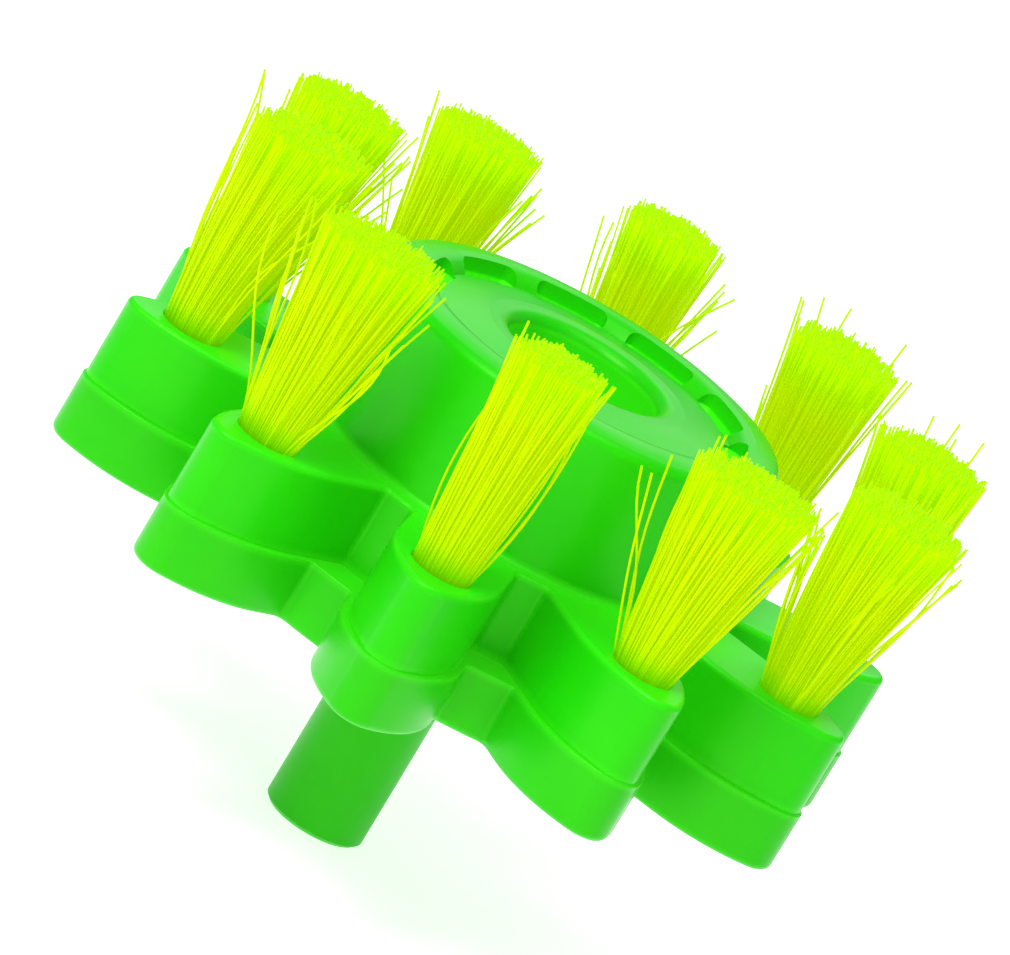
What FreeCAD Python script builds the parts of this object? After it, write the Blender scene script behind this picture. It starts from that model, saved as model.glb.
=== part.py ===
import FreeCAD, Part
import math
import os

os.makedirs("parts", exist_ok=True)

Vector = FreeCAD.Vector

# Rotary brush head of a handheld bath sprayer for pets.
# Frame: millimetres, +Z along the brush axis towards the bristle tips.
# The origin is the centre of the stem's free end. One lobe points along -Y.

# ---------------------------------------------------------------- lobed ring
LOBES = 10
LOBE_STEP = 360.0 / LOBES
FIRST_LOBE = -90.0          # direction of the first lobe, degrees from +X

RING_BOTTOM = 22.4          # the stem shows 22.4 mm below the ring
COVER_H = 6.3               # lower moulding
TIER_H = 8.3                # upper moulding
PARTING = RING_BOTTOM + COVER_H
RING_TOP = PARTING + TIER_H

# A lobe has parallel sides to its shoulder, then two arcs and a small round nose.
# Radii are measured from the brush axis. The head is 80 mm across its noses.
UPPER_LOBE = {"valley": 22.45, "half": 5.4, "shoulder": 29.0, "nose": 2.5, "tip": 39.75}
LOWER_LOBE = {"valley": 26.95, "half": 6.0, "shoulder": 29.5, "nose": 2.9, "tip": 40.0}
ROOT_FILLET = 0.6
TOP_FILLET = 0.55
LEDGE_FILLET = 0.15
BOTTOM_FILLET = 0.8

# ---------------------------------------------------------------- drum
DRUM_BASE_R = 20.8
DRUM_TOP_R = 20.4
DRUM_H = 14.5
DRUM_TOP = RING_TOP + DRUM_H
DRUM_FOOT = 0.8
CREST_R = 17.4              # highest circle of the rounded rim
CREST_ROUND = 6.0           # the rim falls gently outwards, then turns down
SHOULDER_R = 1.2
DISH_R = 15.2               # foot of the rim's inner slope
DISH_DEPTH = 1.3            # below the crest, at the slots
CROWN = 0.7                 # the floor rises this much towards the well
CROWN_R = 10.2
DISH_FLOOR = DRUM_TOP - DISH_DEPTH
WELL_TOP = DISH_FLOOR + CROWN

WELL_R = 7.75
WELL_LIP = 1.4
WELL_CUP_R = 9.8
WELL_CUP_BOTTOM = DISH_FLOOR - 8.9
ROSE_SEAT_R = 7.0
ROSE_T = 1.6
ROSE_SEAT_Z = WELL_CUP_BOTTOM + 1.5
ROSE_PLAY = 0.05            # round the edge of the rose
JET_R = 0.55
JET_RINGS = ((2.6, 6), (5.2, 12))   # radius and number of jets round the middle one

CHAMBER_R = 17.0
CHAMBER_TOP = DISH_FLOOR - 2.1
CARRIER_R = 17.6
CARRIER_TOP = PARTING + 6.8
CARRIER_GROOVE = (16.0, 11.5, 3.5)  # outer radius, inner radius, depth of the coring
COVER_GROOVE = (19.0, 12.0, 1.2)    # the same under the lower moulding

SLOT_MID_R = 15.6
SLOT_WIDTH = 2.0
SLOT_LENGTH = 7.4

# ---------------------------------------------------------------- tufts
TUFT_CIRCLE_R = 33.3
TUFT_HOLE_R = 2.95
TUFT_HOLE_DEPTH = 6.0
TUFT_HOLE_CHAMFER = 0.15
TUFT_R = 2.9
TUFT_TOP_R = 5.1
TUFT_LENGTH = 21.5
STAPLE = (5.8, 0.35, 1.7)   # length, thickness, height
STAPLE_LIFT = 0.8           # filaments pass under the staple

# ---------------------------------------------------------------- stem
STEM_R = 5.0
STEM_CHAMFER = 0.4
JOURNAL_R = 5.3
JOURNAL_Z = RING_BOTTOM - 1.0
JOURNAL_TAPER = 0.4
FLANGE_R = 8.6
FLANGE_T = 1.6
WASHER_T = 0.6
WASHER_R = 8.8
WASHER_PLAY = (0.2, 0.4)    # lower washer on the journal, upper washer on the nozzle
SPIGOT_R = 4.0
SPIGOT_CHAMFER = 0.5
SPIGOT_TOP = PARTING + 8.2
SOCKET_R = 3.5
SOCKET_DEPTH = 13.0
WATERWAY_R = 2.6

# ---------------------------------------------------------------- bearing
BUSH_BORE_R = 5.35
BUSH_R = 7.2
BUSH_BOTTOM = RING_BOTTOM + 0.6
BUSH_FLANGE_R = 9.2
BUSH_FLANGE_T = 1.0
LIP_R = 5.8
POCKET_R = 9.6              # the stem's flange turns in here
RING_MINOR_R = 0.9          # section of the rubber seal
RING_MAJOR_R = SPIGOT_R + RING_MINOR_R
GLAND_R = RING_MAJOR_R + RING_MINOR_R
SPIGOT_HOLE_R = 4.3

LOWER_WASHER_Z = PARTING + BUSH_FLANGE_T
FLANGE_Z = LOWER_WASHER_Z + WASHER_T
UPPER_WASHER_Z = FLANGE_Z + FLANGE_T
GLAND_Z = UPPER_WASHER_Z + WASHER_T
GLAND_TOP = GLAND_Z + 2 * RING_MINOR_R

# ---------------------------------------------------------------- screws
SCREWS = 5
SCREW_CIRCLE_R = 25.5
SCREW_R = 1.05
SCREW_CLEAR_R = 1.35
SCREW_HEAD_R = 2.4
SCREW_HEAD_H = 1.6
RECESS = (2.8, 0.6, 0.9)    # length, width and depth of the cross recess
COUNTERBORE_R = 2.65
COUNTERBORE_DEPTH = 2.2
SCREW_TOP = PARTING + 5.6
PILOT_SPARE = 0.4           # the pilot hole runs on past the screw


def polar(radius, degrees, z=0.0):
    """A point at a radius and direction round the brush axis."""
    a = math.radians(degrees)
    return Vector(radius * math.cos(a), radius * math.sin(a), z)


def lobe_angle(index):
    """Direction of a lobe, counted anticlockwise from the first."""
    return FIRST_LOBE + index * LOBE_STEP


def place(x, y, direction, z):
    """A point given along and across a lobe, turned to the lobe's direction."""
    a = math.radians(direction)
    return Vector(x * math.cos(a) - y * math.sin(a), x * math.sin(a) + y * math.cos(a), z)


def cylinder(radius, z0, z1, at=None):
    """An upright cylinder between two heights."""
    base = at if at is not None else Vector(0, 0, 0)
    return Part.makeCylinder(radius, z1 - z0, Vector(base.x, base.y, z0))


def tube(outer, inner, z0, z1):
    """A plain ring between two heights."""
    return cylinder(outer, z0, z1).cut(cylinder(inner, z0, z1))


def revolve(edges):
    """Turn a closed profile in the XZ plane about the brush axis."""
    face = Part.Face(Part.Wire(edges))
    return face.revolve(Vector(0, 0, 0), Vector(0, 0, 1), 360)


def polyline(points):
    """Closed chain of straight edges through (radius, z) points."""
    v = [Vector(r, 0, z) for r, z in points]
    return [Part.makeLine(a, b) for a, b in zip(v, v[1:] + v[:1])]


def line(a, b):
    """Straight edge between two (radius, z) points."""
    return Part.makeLine(Vector(a[0], 0, a[1]), Vector(b[0], 0, b[1]))


def arc(a, mid, b):
    """Circular edge through three (radius, z) points."""
    pts = [Vector(p[0], 0, p[1]) for p in (a, mid, b)]
    return Part.Arc(*pts).toShape()


def arc_point(centre, radius, degrees):
    """Point on a rounded corner of a profile, at an angle from the outward direction."""
    a = math.radians(degrees)
    return (centre[0] + radius * math.cos(a), centre[1] + radius * math.sin(a))


# ------------------------------------------------------------ lobed outlines
def nose_arcs(lobe):
    """Radius of a lobe's side arcs, and where they run into its nose."""
    reach = lobe["tip"] - lobe["nose"] - lobe["shoulder"]
    half, nose = lobe["half"], lobe["nose"]
    radius = (reach ** 2 + half ** 2 - nose ** 2) / (2 * (half - nose))
    turn = math.atan2(reach, radius - half)
    return radius, turn


def side_point(lobe, radius, turn):
    """Point on a side arc, turned away from the straight side."""
    x = lobe["shoulder"] + radius * math.sin(turn)
    y = lobe["half"] - radius + radius * math.cos(turn)
    return x, y


def lobed_prism(lobe, z0, z1):
    """Ten-lobed plate with rounded corners in its valleys."""
    valley_r, half = lobe["valley"], lobe["half"]
    root_x = math.sqrt(valley_r ** 2 - half ** 2)
    radius, turn = nose_arcs(lobe)
    mid_x, mid_y = side_point(lobe, radius, turn / 2)
    end_x, end_y = side_point(lobe, radius, turn)
    edges = []
    for i in range(LOBES):
        d = lobe_angle(i)
        before = [place(x, y, d, z0) for x, y in (
            (root_x, -half), (lobe["shoulder"], -half), (mid_x, -mid_y), (end_x, -end_y))]
        after = [place(x, y, d, z0) for x, y in (
            (end_x, end_y), (mid_x, mid_y), (lobe["shoulder"], half), (root_x, half))]
        valley = polar(valley_r, d + LOBE_STEP / 2, z0)
        following = place(root_x, -half, d + LOBE_STEP, z0)
        edges.append(Part.makeLine(before[0], before[1]))
        edges.append(Part.Arc(before[1], before[2], before[3]).toShape())
        edges.append(Part.Arc(before[3], place(lobe["tip"], 0, d, z0), after[0]).toShape())
        edges.append(Part.Arc(after[0], after[1], after[2]).toShape())
        edges.append(Part.makeLine(after[2], after[3]))
        edges.append(Part.Arc(after[3], valley, following).toShape())
    solid = Part.Face(Part.Wire(edges)).extrude(Vector(0, 0, z1 - z0))
    roots = [e for e in solid.Edges if is_root_edge(e, valley_r)]
    return solid.makeFillet(ROOT_FILLET, roots)


def is_root_edge(edge, valley_r):
    """True for the upright edges where a lobe leaves the hub."""
    a, b = edge.Vertexes[0].Point, edge.Vertexes[-1].Point
    upright = abs(a.x - b.x) < 1e-6 and abs(a.y - b.y) < 1e-6
    return upright and abs(math.hypot(a.x, a.y) - valley_r) < 1e-3


def edges_at_height(solid, z):
    """Every edge that lies flat at one height."""
    return [e for e in solid.Edges if abs(e.BoundBox.ZMin - z) < 1e-6 and abs(e.BoundBox.ZMax - z) < 1e-6]


# ------------------------------------------------------------ upper moulding
def drum_skin():
    """Outside of the drum: tapered wall, rounded rim, dished top."""
    foot = (DRUM_BASE_R + DRUM_FOOT, RING_TOP)
    wall_low = (DRUM_BASE_R, RING_TOP + DRUM_FOOT)
    foot_mid = arc_point((DRUM_BASE_R + DRUM_FOOT, RING_TOP + DRUM_FOOT), DRUM_FOOT, 225)
    crest = (CREST_R, DRUM_TOP)
    round_centre = (CREST_R, DRUM_TOP - CREST_ROUND)
    turn = math.degrees(math.acos((DRUM_TOP_R - SHOULDER_R - CREST_R) / (CREST_ROUND - SHOULDER_R)))
    round_mid = arc_point(round_centre, CREST_ROUND, (90 + turn) / 2)
    round_end = arc_point(round_centre, CREST_ROUND, turn)
    shoulder_centre = arc_point(round_centre, CREST_ROUND - SHOULDER_R, turn)
    shoulder_mid = arc_point(shoulder_centre, SHOULDER_R, turn / 2)
    wall_high = arc_point(shoulder_centre, SHOULDER_R, 0)
    slope_w = CREST_R - DISH_R
    slope_r = (slope_w ** 2 + DISH_DEPTH ** 2) / (2 * DISH_DEPTH)
    slope_turn = math.degrees(math.asin(slope_w / slope_r))
    slope_mid = arc_point((CREST_R, DRUM_TOP - slope_r), slope_r, 90 + slope_turn / 2)
    sunk = RING_TOP - 1.0
    return revolve([
        line((0, sunk), (foot[0], sunk)),
        line((foot[0], sunk), foot),
        arc(foot, foot_mid, wall_low),
        line(wall_low, wall_high),
        arc(wall_high, shoulder_mid, round_end),
        arc(round_end, round_mid, crest),
        arc(crest, slope_mid, (DISH_R, DISH_FLOOR)),
        line((DISH_R, DISH_FLOOR), (CROWN_R, WELL_TOP)),
        line((CROWN_R, WELL_TOP), (0, WELL_TOP)),
        line((0, WELL_TOP), (0, sunk)),
    ])


def inner_space():
    """Seat for the seal carrier, water chamber, and the central well."""
    over = DRUM_TOP + 5
    lip_low = (WELL_R, WELL_TOP - WELL_LIP)
    lip_high = (WELL_R + WELL_LIP, WELL_TOP)
    lip_mid = arc_point((WELL_R + WELL_LIP, WELL_TOP - WELL_LIP), WELL_LIP, 135)
    return revolve([
        line((0, PARTING), (CARRIER_R, PARTING)),
        line((CARRIER_R, PARTING), (CARRIER_R, CARRIER_TOP)),
        line((CARRIER_R, CARRIER_TOP), (CHAMBER_R, CARRIER_TOP)),
        line((CHAMBER_R, CARRIER_TOP), (CHAMBER_R, CHAMBER_TOP)),
        line((CHAMBER_R, CHAMBER_TOP), (WELL_CUP_R, CHAMBER_TOP)),
        line((WELL_CUP_R, CHAMBER_TOP), (WELL_CUP_R, WELL_CUP_BOTTOM)),
        line((WELL_CUP_R, WELL_CUP_BOTTOM), (ROSE_SEAT_R, WELL_CUP_BOTTOM)),
        line((ROSE_SEAT_R, WELL_CUP_BOTTOM), (ROSE_SEAT_R, ROSE_SEAT_Z)),
        line((ROSE_SEAT_R, ROSE_SEAT_Z), (WELL_R, ROSE_SEAT_Z)),
        line((WELL_R, ROSE_SEAT_Z), lip_low),
        arc(lip_low, lip_mid, lip_high),
        line(lip_high, (lip_high[0], over)),
        line((lip_high[0], over), (0, over)),
        line((0, over), (0, PARTING)),
    ])


def rim_slot(direction):
    """Curved water slot at the foot of the rim, with round ends."""
    half = math.degrees((SLOT_LENGTH - SLOT_WIDTH) / 2 / SLOT_MID_R)
    z0, z1 = CHAMBER_TOP - 0.5, DRUM_TOP + 1
    outer, inner = SLOT_MID_R + SLOT_WIDTH / 2, SLOT_MID_R - SLOT_WIDTH / 2
    wedge = Part.makeCylinder(outer, z1 - z0, Vector(0, 0, z0), Vector(0, 0, 1), 2 * half)
    slot = wedge.cut(cylinder(inner, z0 - 1, z1 + 1))
    slot.rotate(Vector(0, 0, 0), Vector(0, 0, 1), direction - half)
    ends = [cylinder(SLOT_WIDTH / 2, z0, z1, polar(SLOT_MID_R, direction + s * half)) for s in (-1, 1)]
    return slot.multiFuse(ends)


def tuft_hole(index):
    """Blind hole for a tuft, with a chamfered mouth."""
    at = polar(TUFT_CIRCLE_R, lobe_angle(index))
    hole = cylinder(TUFT_HOLE_R, RING_TOP - TUFT_HOLE_DEPTH, RING_TOP + 1, at)
    mouth = Part.makeCone(
        TUFT_HOLE_R, TUFT_HOLE_R + TUFT_HOLE_CHAMFER, TUFT_HOLE_CHAMFER,
        Vector(at.x, at.y, RING_TOP - TUFT_HOLE_CHAMFER))
    return hole.fuse(mouth)


def screw_places():
    """Screws sit under every second lobe."""
    return [polar(SCREW_CIRCLE_R, lobe_angle(2 * i)) for i in range(SCREWS)]


def brush_body():
    """Upper moulding: lobed tier, drum, tuft holes and water slots."""
    tier = lobed_prism(UPPER_LOBE, PARTING, RING_TOP)
    tier = tier.makeFillet(TOP_FILLET, edges_at_height(tier, RING_TOP))
    body = tier.fuse(drum_skin()).removeSplitter()
    cutters = [inner_space()]
    cutters += [tuft_hole(i) for i in range(LOBES)]
    cutters += [rim_slot(lobe_angle(i) + LOBE_STEP / 2) for i in range(LOBES)]
    cutters += [cylinder(SCREW_R, PARTING - 1, SCREW_TOP + PILOT_SPARE, p) for p in screw_places()]
    for cutter in cutters:
        body = body.cut(cutter)
    return body


# ------------------------------------------------------------ lower moulding
def back_cover():
    """Lower moulding that closes the head and carries the bush."""
    plate = lobed_prism(LOWER_LOBE, RING_BOTTOM, PARTING)
    plate = plate.makeFillet(BOTTOM_FILLET, edges_at_height(plate, RING_BOTTOM))
    plate = plate.makeFillet(LEDGE_FILLET, edges_at_height(plate, PARTING))
    outer, inner, depth = COVER_GROOVE
    plate = plate.cut(tube(outer, inner, RING_BOTTOM - 1, RING_BOTTOM + depth))
    plate = plate.cut(cylinder(LIP_R, RING_BOTTOM - 1, PARTING + 1))
    plate = plate.cut(cylinder(BUSH_R, BUSH_BOTTOM, PARTING + 1))
    for p in screw_places():
        plate = plate.cut(cylinder(COUNTERBORE_R, RING_BOTTOM - 1, RING_BOTTOM + COUNTERBORE_DEPTH, p))
        plate = plate.cut(cylinder(SCREW_CLEAR_R, RING_BOTTOM, PARTING + 1, p))
    return plate


# ------------------------------------------------------------ stem and seals
def stem():
    """Hollow spigot: free end, bearing journal, thrust flange, water nozzle."""
    flange_top = FLANGE_Z + FLANGE_T
    outer = [
        (0, 0),
        (STEM_R - STEM_CHAMFER, 0),
        (STEM_R, STEM_CHAMFER),
        (STEM_R, JOURNAL_Z - JOURNAL_TAPER),
        (JOURNAL_R, JOURNAL_Z),
        (JOURNAL_R, FLANGE_Z),
        (FLANGE_R, FLANGE_Z),
        (FLANGE_R, flange_top),
        (SPIGOT_R, flange_top),
        (SPIGOT_R, SPIGOT_TOP - SPIGOT_CHAMFER),
        (SPIGOT_R - SPIGOT_CHAMFER, SPIGOT_TOP),
        (0, SPIGOT_TOP),
    ]
    body = revolve(polyline(outer))
    body = body.cut(cylinder(SOCKET_R, -1, SOCKET_DEPTH))
    return body.cut(cylinder(WATERWAY_R, 0, SPIGOT_TOP + 1))


def bearing_bush():
    """Flanged sleeve pressed into the lower moulding."""
    sleeve = tube(BUSH_R, BUSH_BORE_R, BUSH_BOTTOM, LOWER_WASHER_Z)
    return sleeve.fuse(tube(BUSH_FLANGE_R, BUSH_BORE_R, PARTING, LOWER_WASHER_Z)).removeSplitter()


def seal_carrier():
    """Disc that closes the water chamber and holds the seal."""
    body = cylinder(CARRIER_R, PARTING, CARRIER_TOP)
    body = body.cut(cylinder(POCKET_R, PARTING - 1, GLAND_Z))
    body = body.cut(cylinder(GLAND_R, GLAND_Z - 1, GLAND_TOP))
    body = body.cut(cylinder(SPIGOT_HOLE_R, GLAND_TOP - 1, CARRIER_TOP + 1))
    outer, inner, depth = CARRIER_GROOVE
    return body.cut(tube(outer, inner, PARTING - 1, PARTING + depth))


def seal_ring():
    """Rubber ring between the carrier and the stem's nozzle."""
    return Part.makeTorus(RING_MAJOR_R, RING_MINOR_R, Vector(0, 0, GLAND_Z + RING_MINOR_R))


def spray_plate():
    """Rose at the bottom of the well, with rings of small jets."""
    plate = cylinder(WELL_R - ROSE_PLAY, ROSE_SEAT_Z, ROSE_SEAT_Z + ROSE_T)
    jets = [Vector(0, 0, 0)]
    for radius, count in JET_RINGS:
        jets += [polar(radius, 360.0 * i / count) for i in range(count)]
    for at in jets:
        plate = plate.cut(cylinder(JET_R, ROSE_SEAT_Z - 1, ROSE_SEAT_Z + ROSE_T + 1, at))
    return plate


def cover_screws():
    """Pan-head screws that hold the two mouldings together."""
    head_top = RING_BOTTOM + COUNTERBORE_DEPTH
    head_bottom = head_top - SCREW_HEAD_H
    length, width, depth = RECESS
    screws = []
    for p in screw_places():
        head = cylinder(SCREW_HEAD_R, head_bottom, head_top, p)
        shank = cylinder(SCREW_R, head_top, SCREW_TOP, p)
        screw = head.fuse(shank).removeSplitter()
        for along, across in ((length, width), (width, length)):
            corner = Vector(p.x - along / 2, p.y - across / 2, head_bottom)
            screw = screw.cut(Part.makeBox(along, across, depth, corner))
        screws.append(screw)
    return Part.makeCompound(screws)


# ------------------------------------------------------------ tufts
def staple(index):
    """Flat wire anchor that pins a folded tuft at the bottom of its hole."""
    length, thick, height = STAPLE
    z = RING_TOP - TUFT_HOLE_DEPTH + STAPLE_LIFT
    bar = Part.makeBox(length, thick, height, Vector(-length / 2, -thick / 2, z))
    bar.rotate(Vector(0, 0, 0), Vector(0, 0, 1), lobe_angle(index) + 90)
    bar.translate(polar(TUFT_CIRCLE_R, lobe_angle(index)))
    return bar


def tuft(index):
    """Bristle tuft: straight in its hole, then flaring to the trimmed top."""
    at = polar(TUFT_CIRCLE_R, lobe_angle(index))
    root = cylinder(TUFT_R, RING_TOP - TUFT_HOLE_DEPTH, RING_TOP, at)
    brush = Part.makeCone(TUFT_R, TUFT_TOP_R, TUFT_LENGTH, Vector(at.x, at.y, RING_TOP))
    return root.fuse(brush).cut(staple(index))


# ------------------------------------------------------------ washers
def thrust_washer_lower():
    """Plain washer between the bush and the stem's flange."""
    return tube(WASHER_R, JOURNAL_R + WASHER_PLAY[0], LOWER_WASHER_Z, FLANGE_Z)


def thrust_washer_upper():
    """Plain washer between the stem's flange and the seal carrier."""
    return tube(WASHER_R, SPIGOT_R + WASHER_PLAY[1], UPPER_WASHER_Z, GLAND_Z)


def export(name, shape):
    """Write one node."""
    shape.exportStep("parts/" + name + ".step")


export("brush_body", brush_body())
export("back_cover", back_cover())
export("stem", stem())
export("bearing_bush", bearing_bush())
export("thrust_washer_lower", thrust_washer_lower())
export("thrust_washer_upper", thrust_washer_upper())
export("seal_carrier", seal_carrier())
export("seal_ring", seal_ring())
export("spray_plate", spray_plate())
export("cover_screws", cover_screws())
for number in range(LOBES):
    export("tuft_%02d" % (number + 1), tuft(number))
    export("tuft_staple_%02d" % (number + 1), staple(number))
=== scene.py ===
import math
import random

import bpy
from mathutils import Matrix, Vector


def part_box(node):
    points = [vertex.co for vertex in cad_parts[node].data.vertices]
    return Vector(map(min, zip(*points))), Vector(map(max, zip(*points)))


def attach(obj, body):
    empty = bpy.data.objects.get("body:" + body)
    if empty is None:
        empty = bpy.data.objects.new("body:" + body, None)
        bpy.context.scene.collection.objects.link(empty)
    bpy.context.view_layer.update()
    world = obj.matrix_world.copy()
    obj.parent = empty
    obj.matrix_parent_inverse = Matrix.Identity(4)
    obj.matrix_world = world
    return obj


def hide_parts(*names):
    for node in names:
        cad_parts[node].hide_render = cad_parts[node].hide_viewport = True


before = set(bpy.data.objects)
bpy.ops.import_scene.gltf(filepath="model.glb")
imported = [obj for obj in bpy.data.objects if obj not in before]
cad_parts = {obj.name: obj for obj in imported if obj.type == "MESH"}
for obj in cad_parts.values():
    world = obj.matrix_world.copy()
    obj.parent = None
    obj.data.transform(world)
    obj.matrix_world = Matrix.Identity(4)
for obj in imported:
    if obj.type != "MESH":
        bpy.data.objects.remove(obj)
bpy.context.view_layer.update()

MM = 0.001
TUFTS = 10
TUFT_HEIGHT = 21.5 * MM
HOLE_R = 2.95 * MM
DISH_DEPTH = 1.3 * MM
RING_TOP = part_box("tuft_01")[1].z - TUFT_HEIGHT
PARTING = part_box("back_cover")[1].z
DISH_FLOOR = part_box("brush_body")[1].z - DISH_DEPTH
WELL_PAINTED_LIGHT_R = 9.5 * MM      # the painted light has the well's strength up to here
SLOT_PAINTED_LIGHT_R = 14.0 * MM     # and the slots' strength from here
HOLLOW_R = 16.7 * MM        # where the slots end
EDGE_REACH = 0.9 * MM       # how far an edge's painted highlight runs down the wall
WHITE = (1, 1, 1)


# ---------------------------------------------------------------- material helpers
def srgb(*channels):
    """A colour given as 0 to 255 display values, turned into linear light."""
    return tuple(c / 255 / 12.92 if c <= 10 else ((c / 255 + 0.055) / 1.055) ** 2.4 for c in channels)


class Nodes:
    """Short hand for building one node tree."""

    def __init__(self, name):
        self.material = bpy.data.materials.new(name)
        self.material.use_nodes = True
        self.tree = self.material.node_tree
        self.shader = self.tree.nodes["Principled BSDF"]

    def add(self, kind, **values):
        """A new node with its sockets set by name."""
        node = self.tree.nodes.new(kind)
        for key, value in values.items():
            node.inputs[key].default_value = value
        return node

    def link(self, a, out, b, inp):
        """A wire from a named output to a named input."""
        self.tree.links.new(a.outputs[out], b.inputs[inp])

    def set(self, **values):
        """Values that are the same all over the surface."""
        for key, value in values.items():
            self.shader.inputs[key.replace("_", " ")].default_value = value

    def coords(self, stretch=WHITE):
        """Object coordinates, squeezed along each axis."""
        place = self.add("ShaderNodeTexCoord")
        mapping = self.add("ShaderNodeMapping", Scale=stretch)
        self.link(place, "Object", mapping, "Vector")
        return mapping

    def noise(self, coords, scale, detail, rough):
        """Soft three-dimensional noise; the scale is in cycles per metre."""
        node = self.add("ShaderNodeTexNoise", Scale=scale, Detail=detail, Roughness=rough)
        self.link(coords, "Vector", node, "Vector")
        return node

    def ramp(self, source, out, stops):
        """Colours at places along an output's range."""
        node = self.add("ShaderNodeValToRGB")
        elements = node.color_ramp.elements
        while len(elements) < len(stops):
            elements.new(0.5)
        for element, (place, colour) in zip(elements, stops):
            element.position = place
            element.color = (*colour, 1)
        self.link(source, out, node, "Fac")
        return node

    def map_range(self, *values):
        """A node that carries a value from one range (low, high) into another."""
        node = self.add("ShaderNodeMapRange")
        for key, value in zip(("From Min", "From Max", "To Min", "To Max"), values):
            node.inputs[key].default_value = value
        return node

    def spread(self, source, out, low, high, to_low, to_high):
        """A named output carried from one range into another."""
        node = self.map_range(low, high, to_low, to_high)
        self.link(source, out, node, "Value")
        return node

    def math(self, operation, a, b):
        """Result of an operation on an output, with another output or a number."""
        node = self.add("ShaderNodeMath")
        node.operation = operation
        self.tree.links.new(a, node.inputs[0])
        if isinstance(b, (int, float)):
            node.inputs[1].default_value = b
        else:
            self.tree.links.new(b, node.inputs[1])
        return node.outputs[0]

    def spread_smooth(self, value, low, high, to_low, to_high):
        """An output carried from one range into another, easing in and out."""
        node = self.map_range(low, high, to_low, to_high)
        node.interpolation_type = "SMOOTHSTEP"
        self.tree.links.new(value, node.inputs["Value"])
        return node.outputs["Result"]

    def painted_glow_with(self, base, *extra):
        """Emission strength, which paints light: an even base and what the given outputs add to it."""
        total = extra[0]
        for part in extra[1:]:
            total = self.math("ADD", total, part)
        self.tree.links.new(self.math("ADD", total, base), self.shader.inputs["Emission Strength"])

    def multiply(self, a, b):
        """Product of two colour outputs."""
        node = self.add("ShaderNodeMix")
        node.data_type, node.blend_type = "RGBA", "MULTIPLY"
        node.inputs[0].default_value = 1.0
        self.tree.links.new(a, node.inputs[6])
        self.tree.links.new(b, node.inputs[7])
        return node.outputs[2]

    def bump(self, parts, distance):
        """Chain of bumps, one per (node, strength)."""
        last = None
        for source, strength in parts:
            node = self.add("ShaderNodeBump", Strength=strength, Distance=distance)
            self.link(source, "Fac", node, "Height")
            if last:
                self.link(last, "Normal", node, "Normal")
            last = node
        self.link(last, "Normal", self.shader, "Normal")


def height_parts(n):
    """Object coordinates, split so that Z is the height in the frame."""
    place = n.add("ShaderNodeTexCoord")
    parts = n.add("ShaderNodeSeparateXYZ")
    n.link(place, "Object", parts, "Vector")
    return parts


def painted_edge_light(n, height, gain):
    """Painted highlight: emission in a band round one height, which lightens the moulding's edges there
    and the shade along them.
    """
    parts = height_parts(n)
    above = n.math("SUBTRACT", parts.outputs["Z"], height)
    distance = n.math("ABSOLUTE", above, 0)
    return n.spread_smooth(distance, 0, EDGE_REACH, gain, 0)


def painted_hollow_light(n, well, slots):
    """Painted light in the well and the slots, under the drum's dish: emission standing in for light
    through their thin walls.
    """
    parts = height_parts(n)
    flat = n.coords((1, 1, 0))
    reach = n.add("ShaderNodeVectorMath")
    reach.operation = "LENGTH"
    n.link(flat, "Vector", reach, "Vector")
    radius = reach.outputs["Value"]
    # The painted light's strength runs from the well's to the slots' with the radius.
    gain = n.spread_smooth(radius, WELL_PAINTED_LIGHT_R, SLOT_PAINTED_LIGHT_R, well, slots)
    inside = n.spread_smooth(radius, HOLLOW_R, HOLLOW_R - 0.3 * MM, 0, 1)
    below = n.spread_smooth(parts.outputs["Z"], DISH_FLOOR - 0.1 * MM, DISH_FLOOR - 0.5 * MM, 0, 1)
    return n.math("MULTIPLY", n.math("MULTIPLY", gain, inside), below)


def moulded_plastic(name, light, deep, gloss=(0.30, 0.36), painted_glow=0.04):
    """Injection-moulded translucent plastic: flow clouding, satin skin, faint scuffs, and an even painted
    glow.
    """
    n = Nodes(name)
    cloud = n.noise(n.coords(), 60, 4, 0.55)
    colour = n.ramp(cloud, "Fac", [(0.3, deep), (0.7, light)])
    n.link(colour, "Color", n.shader, "Base Color")
    scuffs = n.noise(n.coords((1, 1, 0.2)), 250, 3, 0.5)
    rough = n.spread(scuffs, "Fac", 0.35, 0.7, *gloss)
    n.link(rough, "Result", n.shader, "Roughness")
    waves = n.noise(n.coords(), 90, 2, 0.4)
    skin = n.noise(n.coords(), 1500, 2, 0.5)
    n.bump([(waves, 0.07), (skin, 0.03)], 0.2 * MM)
    n.set(IOR=1.46, Specular_IOR_Level=0.42, Specular_Tint=(0.45, 1.0, 0.22, 1))
    # Painted light: an even green emission over the whole surface, which lifts its shaded parts.
    n.set(Emission_Color=(*srgb(70, 225, 25), 1), Emission_Strength=painted_glow)
    return n


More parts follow.
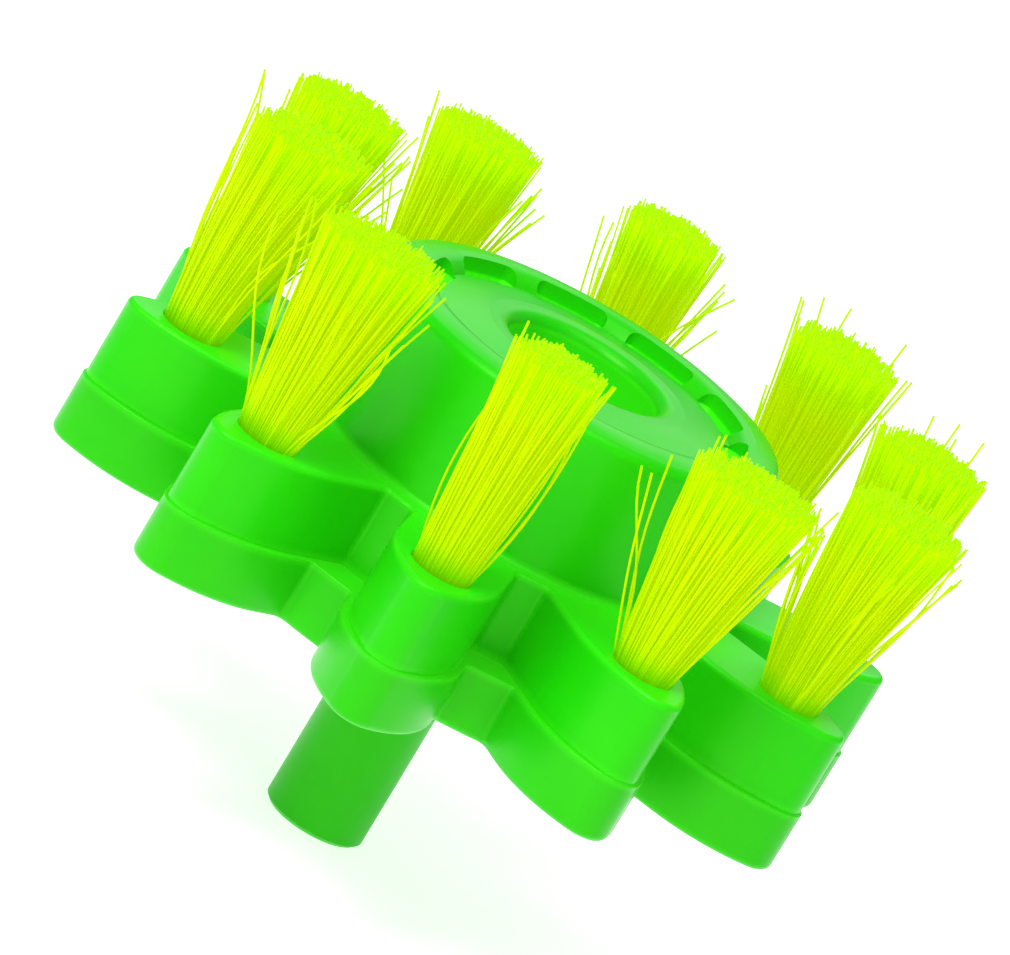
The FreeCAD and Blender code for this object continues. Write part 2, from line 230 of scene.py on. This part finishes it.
def nylon(name):
    """Bright nylon filament: each strand its own tint; greener and darker at the root, where shade is
    painted, and greener and lighter on the cut tip, where a highlight is painted; all of it lit by a
    painted glow.
    """
    n = Nodes(name)
    strand = n.add("ShaderNodeAttribute")
    strand.attribute_name = "strand"
    part = n.add("ShaderNodeSeparateXYZ")
    n.link(strand, "Vector", part, "Vector")
    # Colour along the filament: the root's darker green is painted shade, the cut tip's lighter green a
    # painted highlight.
    along = n.ramp(part, "Y", [
        (0.0, srgb(112, 216, 0)),
        (0.06, srgb(142, 220, 0)),
        (0.16, srgb(184, 224, 0)),
        (0.70, srgb(200, 228, 0)),
        (0.985, srgb(186, 244, 0)),
        (1.0, srgb(158, 250, 0)),
    ])
    tint = n.ramp(part, "X", [
        (0.0, (0.90, 0.94, 1)),
        (0.5, (0.96, 0.97, 1)),
        (1.0, (1.03, 1.00, 1)),
    ])
    colour = n.multiply(along.outputs["Color"], tint.outputs["Color"])
    # The colour, painted shade and highlight included, is also painted on as glow.
    n.tree.links.new(colour, n.shader.inputs["Emission Color"])
    # The base colour is dimmed, so more of the filament's brightness comes from the painted glow.
    veil = n.add("ShaderNodeHueSaturation", Value=0.78)
    n.tree.links.new(colour, veil.inputs["Color"])
    n.link(veil, "Color", n.shader, "Base Color")
    # Painted glow, strongest at the root, where it lightens the shade in the hole.
    painted_glow = n.spread(part, "Y", 0.0, 0.16, 0.46, 0.40)
    n.link(painted_glow, "Result", n.shader, "Emission Strength")
    streak = n.noise(n.coords((1, 1, 0.05)), 900, 2, 0.6)
    rough = n.spread(streak, "Fac", 0.3, 0.7, 0.38, 0.55)
    n.link(rough, "Result", n.shader, "Roughness")
    n.bump([(streak, 0.1)], 0.02 * MM)
    n.set(IOR=1.5, Specular_IOR_Level=0.05, Specular_Tint=(0.75, 1.0, 0.05, 1))
    return n.material


def metal(name, colour, rough):
    """Drawn steel with fine marks."""
    n = Nodes(name)
    marks = n.noise(n.coords(), 2500, 4, 0.6)
    tone = n.ramp(marks, "Fac", [(0.3, [c * 0.8 for c in colour]), (0.7, colour)])
    n.link(tone, "Color", n.shader, "Base Color")
    rough = n.spread(marks, "Fac", 0.3, 0.7, rough - 0.06, rough + 0.08)
    n.link(rough, "Result", n.shader, "Roughness")
    n.set(Metallic=1.0)
    n.bump([(marks, 0.08)], 0.1 * MM)
    return n.material


def matt_skin(name, light, deep, rough):
    """Turned acetal or rubber: slight mottling and a matt skin."""
    n = Nodes(name)
    mottle = n.noise(n.coords(), 400, 3, 0.5)
    tone = n.ramp(mottle, "Fac", [(0.3, deep), (0.7, light)])
    n.link(tone, "Color", n.shader, "Base Color")
    rough = n.spread(mottle, "Fac", 0.3, 0.7, rough - 0.05, rough + 0.05)
    n.link(rough, "Result", n.shader, "Roughness")
    n.bump([(mottle, 0.08)], 0.1 * MM)
    return n.material


# ---------------------------------------------------------------- tufts
SIDES = 5                   # corners of a filament's section
RINGS = 8                   # sections along a filament
FILAMENT_R = 0.10 * MM
WISP_THICKNESS = 1.2        # times a packed filament's
PER_TUFT = 680
CLUMPS = 30
CLUMP_PULL = 0.30           # how far a filament's tip is drawn to the middle of its clump
ROOT_DEPTH = 0.8 * MM       # the filaments start inside the hole
ROOT_R = HOLE_R - 0.27 * MM
ROOT_Z = RING_TOP - ROOT_DEPTH
FAN_CURVE = 0.97            # nearly a straight cone
LEAN_CURVE = 1.6            # a tuft leans mostly near its top
FIRST_SEED = 100
LEFT, RIGHT, NEAR, FAR = 180, 0, -90, 90

# Each tuft has splayed its own way with use. Lengths are in mm: the radius and height
# of its trimmed top, how far the top leans along X and Y, and its wisps. A wisp is a
# bearing in degrees, a number of strands, how far their tips stand off the tuft, the
# height of the tips, and how far the strands bow out half way up.
TUFT_HABITS = [
    dict(spread=4.4, trim=22.2, lean=(0.0, 0.0), wisps=[
        (LEFT, 1, 0.0, 17.5, 1.4), (RIGHT, 2, 0.0, 16.0, 1.0), (RIGHT, 2, 0.5, 22.2, 0.0),
        (LEFT, 3, 0.1, 22.9, 0.0)]),
    dict(spread=6.0, trim=20.4, lean=(0.64, 0.0), wisps=[
        (LEFT - 10, 2, 4.6, 17.5, 0.6), (LEFT, 3, 3.0, 17.0, 0.8), (LEFT, 3, 1.4, 20.0, 0.3),
        (RIGHT, 6, 1.3, 19.0, 0.2), (RIGHT + 20, 3, 2.2, 13.0, 0.4)]),
    dict(spread=5.8, trim=20.5, lean=(0.9, 0.0), wisps=[
        (LEFT, 8, 1.2, 15.0, 0.3), (LEFT, 2, 2.5, 17.0, 0.3), (RIGHT, 5, 1.6, 17.5, 0.0),
        (NEAR, 3, 1.5, 17.0, 0.6)]),
    dict(spread=5.5, trim=21.0, lean=(-0.46, 0.0), wisps=[
        (LEFT, 2, 0.8, 22.5, 0.0), (FAR, 4, 1.0, 22.6, 0.0), (RIGHT, 3, 0.9, 20.5, 0.0)]),
    dict(spread=5.5, trim=21.0, lean=(-0.55, 0.0), wisps=[
        (LEFT, 3, 0.7, 22.3, 0.0), (FAR, 2, 0.5, 22.8, 0.0), (RIGHT, 4, 0.8, 20.0, 0.0),
        (LEFT, 4, 0.9, 13.0, 0.2)]),
    dict(spread=4.9, trim=20.6, lean=(-0.9, 0.0), wisps=[
        (LEFT, 1, 2.6, 18.0, 0.8), (LEFT, 3, 1.2, 17.0, 0.2), (RIGHT, 4, 2.2, 17.5, 0.0),
        (RIGHT, 3, 4.8, 17.0, 0.0), (NEAR, 3, 1.0, 17.0, 0.3)]),
    dict(spread=5.3, trim=20.5, lean=(-0.36, 0.0), wisps=[
        (RIGHT, 4, 1.8, 17.5, 0.0), (RIGHT, 3, 3.4, 15.5, 0.0), (LEFT, 3, 0.8, 19.5, 0.0),
        (LEFT, 2, 3.0, 13.0, 0.0)]),
    dict(spread=5.4, trim=20.5, lean=(0.64, 0.0), wisps=[
        (LEFT, 2, 0.8, 21.0, 0.0), (RIGHT, 5, 1.8, 18.0, 0.2), (RIGHT + 20, 3, 3.2, 14.0, 0.3)]),
    dict(spread=5.6, trim=21.4, lean=(0.9, 0.0), wisps=[
        (LEFT, 2, 3.2, 22.0, 0.5), (LEFT, 5, 0.8, 19.0, 0.0), (RIGHT, 4, 1.2, 19.0, 0.4),
        (FAR, 3, 1.0, 21.0, 0.0)]),
    dict(spread=5.9, trim=21.0, lean=(0.27, 0.0), wisps=[
        (LEFT, 3, 2.0, 20.0, 0.3), (LEFT - 20, 3, 3.8, 18.5, 0.7), (RIGHT, 6, 1.5, 18.5, 0.2),
        (RIGHT - 20, 3, 2.6, 14.0, 0.5)]),
]


def disc_points(count, radius, jitter, rng):
    """Evenly packed points in a disc, each moved a little at random."""
    golden = math.pi * (3 - math.sqrt(5))
    points = []
    for i in range(count):
        r = radius * math.sqrt((i + 0.5) / count)
        wander = Vector((rng.uniform(-jitter, jitter), rng.uniform(-jitter, jitter), 0))
        points.append(Vector((r * math.cos(i * golden), r * math.sin(i * golden), 0)) + wander)
    return points


class TuftMesh:
    """Vertices, faces and strand marks of one tuft."""

    def __init__(self, index):
        self.rng = random.Random(FIRST_SEED + index)
        self.habit = TUFT_HABITS[index]
        low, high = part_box("tuft_%02d" % (index + 1))
        self.centre = Vector(((low.x + high.x) / 2, (low.y + high.y) / 2, 0))
        self.spread = self.habit["spread"] * MM
        self.lean = Vector((*self.habit["lean"], 0)) * MM
        self.verts, self.faces, self.marks = [], [], []

    def add_filament(self, path, radius):
        """A thin round rod along a path, with blunt ends."""
        start, last = len(self.verts), len(path) - 1
        shade = self.rng.random()
        for k, p in enumerate(path):
            ahead = path[min(k + 1, last)] - path[max(k - 1, 0)]
            side = ahead.cross(Vector((0.3, 1, 0.1))).normalized()
            other = ahead.cross(side).normalized()
            for s in range(SIDES):
                a = 2 * math.pi * s / SIDES
                self.verts.append(p + side * (radius * math.cos(a)) + other * (radius * math.sin(a)))
                self.marks.append((shade, k / last, 0))
        for k in range(last):
            for s in range(SIDES):
                a = start + k * SIDES + s
                b = start + k * SIDES + (s + 1) % SIDES
                self.faces.append((a, b, b + SIDES, a + SIDES))
        self.faces.append([start + s for s in reversed(range(SIDES))])
        self.faces.append([start + last * SIDES + s for s in range(SIDES)])

    def add_core(self):
        """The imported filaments, which spread, lean and gather into clumps as they rise."""
        rng = self.rng
        clumps = disc_points(CLUMPS, ROOT_R, 0.3 * MM, rng)
        top_r = self.spread - FILAMENT_R
        for root in disc_points(PER_TUFT, ROOT_R - 0.04 * MM, 0.10 * MM, rng):
            edge = min(root.length / ROOT_R, 1)
            gather = (min(clumps, key=lambda c: (c - root).length) - root) * CLUMP_PULL
            loose = (0.16 + 0.34 * edge ** 3) * MM
            wild = Vector((rng.gauss(0, loose), rng.gauss(0, loose), 0))
            top = RING_TOP + self.habit["trim"] * MM - 0.5 * MM * edge ** 2 + rng.gauss(0, 0.20) * MM
            path = []
            for k in range(RINGS):
                t = k / (RINGS - 1)
                grow = 1 + (top_r / ROOT_R - 1) * t ** FAN_CURVE
                p = self.centre + (root + gather * t ** 2) * grow + (self.lean + wild) * t ** LEAN_CURVE
                p.z = ROOT_Z + (top - ROOT_Z) * t
                path.append(p)
            self.add_filament(path, FILAMENT_R)

    def add_wisps(self):
        """Strands that have sprung out of the side of the tuft."""
        rng = self.rng
        steps = RINGS + 4
        for bearing, count, reach, height, bow in self.habit["wisps"]:
            for _ in range(count):
                a = math.radians(bearing + rng.gauss(0, 25))
                away = Vector((math.cos(a), math.sin(a), 0))
                aside = Vector((-away.y, away.x, 0))
                stand = reach * MM * rng.uniform(0.55, 1.2)
                belly = bow * MM * rng.uniform(0.7, 1.3)
                wave = rng.gauss(0, 0.9) * MM * (1 if reach > 1 else 0.4)
                phase = rng.uniform(0, math.pi)
                rise = (height + rng.gauss(0, 0.5 if height > 21 else 1.3)) * MM + ROOT_DEPTH
                path = []
                for k in range(steps):
                    t = k / (steps - 1)
                    level = t * rise / (self.habit["trim"] * MM + ROOT_DEPTH)
                    skin = ROOT_R + (self.spread - ROOT_R) * level ** FAN_CURVE
                    out = skin + stand * t ** 1.8 + belly * math.sin(math.pi * t)
                    sway = wave * math.sin(4.2 * t + phase) * t
                    p = self.centre + away * out + aside * sway + away * (sway * 0.5)
                    p += self.lean * level ** LEAN_CURVE
                    p.z = ROOT_Z + rise * t
                    path.append(p)
                self.add_filament(path, FILAMENT_R * WISP_THICKNESS)


def build_tuft(index, material):
    """One bristle tuft, standing for its CAD solid."""
    tuft = TuftMesh(index)
    tuft.add_core()
    tuft.add_wisps()
    name = "bristles_%02d" % (index + 1)
    mesh = bpy.data.meshes.new(name)
    mesh.from_pydata(tuft.verts, [], tuft.faces)
    mesh.attributes.new("strand", "FLOAT_VECTOR", "POINT")
    for point, mark in zip(mesh.attributes["strand"].data, tuft.marks):
        point.vector = mark
    for polygon in mesh.polygons:
        polygon.use_smooth = len(polygon.vertices) == 4
    mesh.update()
    mesh.materials.append(material)
    piece = bpy.data.objects.new(name, mesh)
    bpy.context.scene.collection.objects.link(piece)
    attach(piece, "head")
    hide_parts("tuft_%02d" % (index + 1))


# ---------------------------------------------------------------- studio
def build_camera():
    """Long lens a little above the ring, rolled so that the brush leans right."""
    azimuth, elevation, roll = math.radians(2.91), math.radians(16.16), math.radians(31.04)
    distance, px_per_mm, frame_width = 0.938, 10.976, 1010
    level = Vector((math.sin(azimuth), -math.cos(azimuth), 0))
    toward = level * math.cos(elevation) + Vector((0, 0, math.sin(elevation)))
    right = Vector((math.cos(azimuth), math.sin(azimuth), 0))
    up = toward.cross(right)
    target = Vector((0, 0, RING_TOP)) - right * (1.035 * MM) + up * (0.524 * MM)
    cam_right = right * math.cos(roll) + up * math.sin(roll)
    cam_up = up * math.cos(roll) - right * math.sin(roll)
    data = bpy.data.cameras.new("camera")
    data.sensor_width = 36
    data.lens = data.sensor_width * px_per_mm * distance / MM / frame_width
    data.clip_start, data.clip_end = 0.01, 50
    camera = bpy.data.objects.new("camera", data)
    bpy.context.scene.collection.objects.link(camera)
    rows = [(*axes, place) for *axes, place in zip(cam_right, cam_up, toward, target + toward * distance)]
    camera.matrix_world = Matrix(rows + [(0, 0, 0, 1)])
    bpy.context.scene.camera = camera
    return right, up, toward


def area_light(name, place, aim, size, power):
    """A square soft light."""
    data = bpy.data.lights.new(name, "AREA")
    data.size, data.energy = size, power
    light = bpy.data.objects.new(name, data)
    light.location = place
    light.rotation_mode = "QUATERNION"
    light.rotation_quaternion = (aim - place).to_track_quat("-Z", "Y")
    bpy.context.scene.collection.objects.link(light)


def build_studio(right, up, toward):
    """Pale floor, white surroundings and soft lights."""
    bpy.ops.mesh.primitive_plane_add(size=12, location=(0, 0, -0.2 * MM))
    floor = bpy.context.object
    floor.name = "floor"
    n = Nodes("pale_floor")
    grain = n.noise(n.coords(), 30, 3, 0.5)
    tone = n.ramp(grain, "Fac", [(0.3, (0.78, 0.78, 0.78)), (0.7, (0.80, 0.80, 0.80))])
    n.link(tone, "Color", n.shader, "Base Color")
    n.set(Roughness=0.9, Specular_IOR_Level=0.1, Emission_Color=(*WHITE, 1), Emission_Strength=0.74)
    floor.data.materials.append(n.material)
    world = bpy.data.worlds.new("studio")
    bpy.context.scene.world = world
    world.use_nodes = True
    background = world.node_tree.nodes["Background"]
    background.inputs["Color"].default_value = (*WHITE, 1)
    background.inputs["Strength"].default_value = 0.26
    middle = Vector((0, 0, RING_TOP))
    # Each light: place, aim, side of the square in metres, power in watts.
    area_light("key", middle + toward * 0.50 + up * 0.42 - right * 0.28, middle, 0.32, 3.6)
    area_light("fill", middle + toward * 0.60 + up * 0.05 + right * 0.45, middle, 0.60, 0.9)
    area_light("back", middle - toward * 0.50 + up * 0.60, middle, 0.50, 0.8)
    area_light("top", middle + Vector((0, -0.12, 0.60)), middle, 0.45, 1.6)


# ---------------------------------------------------------------- build
build_studio(*build_camera())

body = moulded_plastic("green_body", srgb(40, 198, 9), srgb(22, 190, 5))
# Painted light on the body: an even glow, painted highlights along the ring's top edge and the parting
# line, and painted light in the well and slots.
body.painted_glow_with(
    0.04, painted_edge_light(body, RING_TOP, 0.20), painted_edge_light(body, PARTING, 0.16), painted_hollow_light(body, 0.24, 1.30))
cover = moulded_plastic("green_cover", srgb(42, 189, 14), srgb(28, 180, 8))
# Painted light on the cover: an even glow and a painted highlight along the parting line.
cover.painted_glow_with(0.03, painted_edge_light(cover, PARTING, 0.20))
# The stem and the spray plate carry a faint even painted glow.
stem = moulded_plastic("green_stem", srgb(50, 190, 28), srgb(42, 182, 20), (0.36, 0.50), 0.02)
rose = moulded_plastic("green_rose", srgb(28, 190, 10), srgb(20, 180, 6), (0.32, 0.44), 0.02)
acetal = matt_skin("acetal", (0.86, 0.86, 0.82), (0.80, 0.80, 0.76), 0.4)
rubber = matt_skin("rubber", (0.025, 0.025, 0.025), (0.015, 0.015, 0.015), 0.6)
steel = metal("steel", (0.62, 0.61, 0.59), 0.3)
bristle = nylon("nylon_lime")

finishes = {
    "brush_body": body.material, "back_cover": cover.material, "stem": stem.material,
    "spray_plate": rose.material, "seal_carrier": stem.material, "bearing_bush": acetal,
    "thrust_washer_lower": acetal, "thrust_washer_upper": acetal, "seal_ring": rubber,
    "cover_screws": steel,
}
for i in range(TUFTS):
    finishes["tuft_staple_%02d" % (i + 1)] = steel
    build_tuft(i, bristle)
for name, material in finishes.items():
    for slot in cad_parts[name].material_slots:
        slot.material = material

view = bpy.context.scene.view_settings
view.view_transform, view.look = "Standard", "None"
